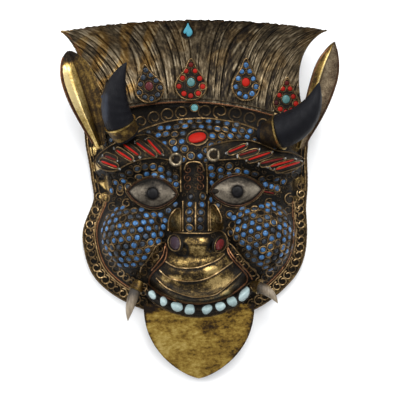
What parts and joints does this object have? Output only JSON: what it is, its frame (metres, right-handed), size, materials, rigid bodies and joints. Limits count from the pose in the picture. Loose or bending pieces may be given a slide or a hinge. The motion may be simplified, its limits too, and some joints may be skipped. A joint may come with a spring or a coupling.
{
  "type": "horned deity dance mask",
  "caption": "Bull-faced ritual dance mask in raised brass with horns, ears, tusks, tongue and inlaid stones, hollow behind.",
  "frame": {"origin": "centre of the whole mask's length and width, on the plane that the rim rests on", "axes": "+Z out of the face, +Y towards the crown of hair, +X to the right of someone looking at the face"},
  "size_m": [0.2804, 0.359, 0.0804],
  "materials": {
    "dark_brass": "blackened patina with rubbed brass on the raised parts",
    "hair_brass": "dull mottled patina",
    "bright_brass": "polished, with dark specks",
    "black_horn": "blackened, satin",
    "bone": "dull, stained",
    "tin": "tarnished grey",
    "coral": "polished",
    "garnet": "polished, dark red",
    "turquoise": "polished",
    "pale_stone": "polished, pale blue-white",
    "blue_stone": "polished, blue",
    "copper_wire": "aged copper wire"
  },
  "bodies": {
    "root": {"face_shell": "dark_brass", "hair_crown": "hair_brass", "tongue": "bright_brass", "eye_left": "tin", "pupil_left": "black_horn", "eye_right": "tin", "pupil_right": "black_horn", "brow_ring_left": "hair_brass", "brow_left": "dark_brass", "brow_bar_left_1": "coral", "brow_bar_left_2": "coral", "brow_bar_left_3": "coral", "brow_bar_left_4": "coral", "brow_bar_left_5": "coral", "brow_bar_left_6": "coral", "brow_ring_right": "hair_brass", "brow_right": "dark_brass", "brow_bar_right_1": "coral", "brow_bar_right_2": "coral", "brow_bar_right_3": "coral", "brow_bar_right_4": "coral", "brow_bar_right_5": "coral", "brow_bar_right_6": "coral", "horn_left": "black_horn", "horn_socket_left": "bright_brass", "horn_right": "black_horn", "horn_socket_right": "bright_brass", "tusk_left": "bone", "tusk_socket_left": "bright_brass", "tusk_right": "bone", "tusk_socket_right": "bright_brass", "ear_left": "bright_brass", "ear_right": "bright_brass", "tooth_1": "pale_stone", "tooth_2": "pale_stone", "tooth_3": "pale_stone", "tooth_4": "pale_stone", "tooth_5": "pale_stone", "tooth_6": "pale_stone", "tooth_7": "pale_stone", "tooth_8": "pale_stone", "forehead_coral": "coral", "nostril_left": "garnet", "nostril_right": "garnet", "band_turquoise": "turquoise", "jewel_1": "hair_brass", "jewel_stone_1": "turquoise", "jewel_2": "hair_brass", "jewel_stone_2": "garnet", "jewel_3": "hair_brass", "jewel_stone_3": "turquoise", "jewel_4": "hair_brass", "jewel_stone_4": "coral", "jewel_5": "hair_brass", "jewel_stone_5": "turquoise", "crown_turquoise": "turquoise"}
  },
  "joints": []
}
